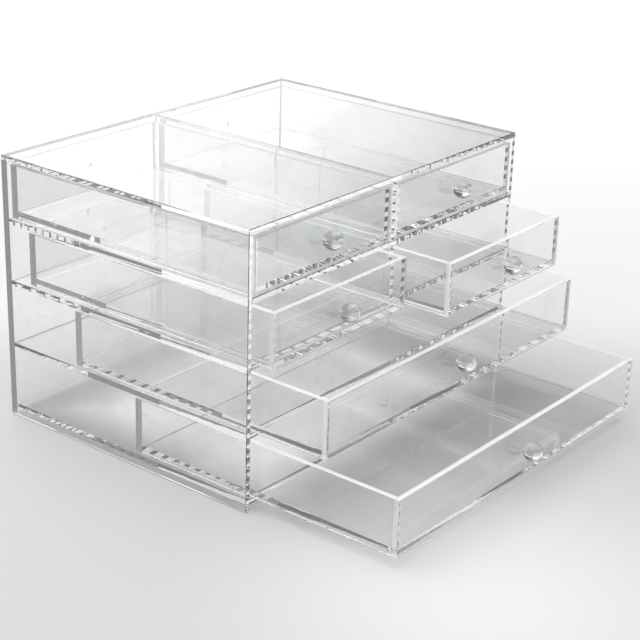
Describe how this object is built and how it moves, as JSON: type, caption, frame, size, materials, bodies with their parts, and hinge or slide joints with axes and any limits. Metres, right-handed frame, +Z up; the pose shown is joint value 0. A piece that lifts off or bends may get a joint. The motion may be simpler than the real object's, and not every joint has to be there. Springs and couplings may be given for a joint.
{
  "type": "acrylic jewelry box",
  "caption": "Clear acrylic jewelry box: a rectangular cabinet of bonded sheets with shelves, from which open-topped drawers slide out at the front, each pulled by a clear ball knob.",
  "frame": {"origin": "middle of the cabinet's footprint, on the surface that it stands on (the plane of the side panels' lower edges)", "axes": "+X to the right as seen from the front, +Y from the front to the back, +Z up; the drawers open towards -Y"},
  "size_m": [0.232, 0.276, 0.152],
  "materials": {
    "clear_cabinet_sheet": "clear colourless cast acrylic sheet, polished faces and edges, bonded without visible glue",
    "clear_drawer_sheet": "clear colourless cast acrylic sheet, polished faces and edges, bonded without visible glue",
    "clear_knob": "clear polished acrylic ball",
    "clear_peg": "clear extruded acrylic rod"
  },
  "bodies": {
    "cabinet": {"left_side": "clear_cabinet_sheet", "right_side": "clear_cabinet_sheet", "top_panel": "clear_cabinet_sheet", "back_panel": "clear_cabinet_sheet", "bottom_panel": "clear_cabinet_sheet", "upper_shelf": "clear_cabinet_sheet", "middle_shelf": "clear_cabinet_sheet", "lower_shelf": "clear_cabinet_sheet", "top_divider": "clear_cabinet_sheet", "second_divider": "clear_cabinet_sheet"},
    "top_left_drawer": {"top_left_drawer_front": "clear_drawer_sheet", "top_left_drawer_back": "clear_drawer_sheet", "top_left_drawer_left_wall": "clear_drawer_sheet", "top_left_drawer_right_wall": "clear_drawer_sheet", "top_left_drawer_floor": "clear_drawer_sheet", "top_left_drawer_knob": "clear_knob", "top_left_drawer_knob_peg": "clear_peg"},
    "top_right_drawer": {"top_right_drawer_front": "clear_drawer_sheet", "top_right_drawer_back": "clear_drawer_sheet", "top_right_drawer_left_wall": "clear_drawer_sheet", "top_right_drawer_right_wall": "clear_drawer_sheet", "top_right_drawer_floor": "clear_drawer_sheet", "top_right_drawer_knob": "clear_knob", "top_right_drawer_knob_peg": "clear_peg"},
    "second_left_drawer": {"second_left_drawer_front": "clear_drawer_sheet", "second_left_drawer_back": "clear_drawer_sheet", "second_left_drawer_left_wall": "clear_drawer_sheet", "second_left_drawer_right_wall": "clear_drawer_sheet", "second_left_drawer_floor": "clear_drawer_sheet", "second_left_drawer_knob": "clear_knob", "second_left_drawer_knob_peg": "clear_peg"},
    "second_right_drawer": {"second_right_drawer_front": "clear_drawer_sheet", "second_right_drawer_back": "clear_drawer_sheet", "second_right_drawer_left_wall": "clear_drawer_sheet", "second_right_drawer_right_wall": "clear_drawer_sheet", "second_right_drawer_floor": "clear_drawer_sheet", "second_right_drawer_knob": "clear_knob", "second_right_drawer_knob_peg": "clear_peg"},
    "third_drawer": {"third_drawer_front": "clear_drawer_sheet", "third_drawer_back": "clear_drawer_sheet", "third_drawer_left_wall": "clear_drawer_sheet", "third_drawer_right_wall": "clear_drawer_sheet", "third_drawer_floor": "clear_drawer_sheet", "third_drawer_knob": "clear_knob", "third_drawer_knob_peg": "clear_peg"},
    "bottom_drawer": {"bottom_drawer_front": "clear_drawer_sheet", "bottom_drawer_back": "clear_drawer_sheet", "bottom_drawer_left_wall": "clear_drawer_sheet", "bottom_drawer_right_wall": "clear_drawer_sheet", "bottom_drawer_floor": "clear_drawer_sheet", "bottom_drawer_knob": "clear_knob", "bottom_drawer_knob_peg": "clear_peg"}
  },
  "joints": [
    {"name": "top_left_drawer_slide", "type": "slide", "parent": "cabinet", "child": "top_left_drawer", "axis": [0, -1, 0], "range_m": [0, 0.15]},
    {"name": "top_right_drawer_slide", "type": "slide", "parent": "cabinet", "child": "top_right_drawer", "axis": [0, -1, 0], "range_m": [0, 0.15]},
    {"name": "second_left_drawer_slide", "type": "slide", "parent": "cabinet", "child": "second_left_drawer", "axis": [0, -1, 0], "range_m": [-0.0125, 0.1375]},
    {"name": "second_right_drawer_slide", "type": "slide", "parent": "cabinet", "child": "second_right_drawer", "axis": [0, -1, 0], "range_m": [-0.036, 0.114]},
    {"name": "third_drawer_slide", "type": "slide", "parent": "cabinet", "child": "third_drawer", "axis": [0, -1, 0], "range_m": [-0.047, 0.103]},
    {"name": "bottom_drawer_slide", "type": "slide", "parent": "cabinet", "child": "bottom_drawer", "axis": [0, -1, 0], "range_m": [-0.091, 0.059]}
  ]
}
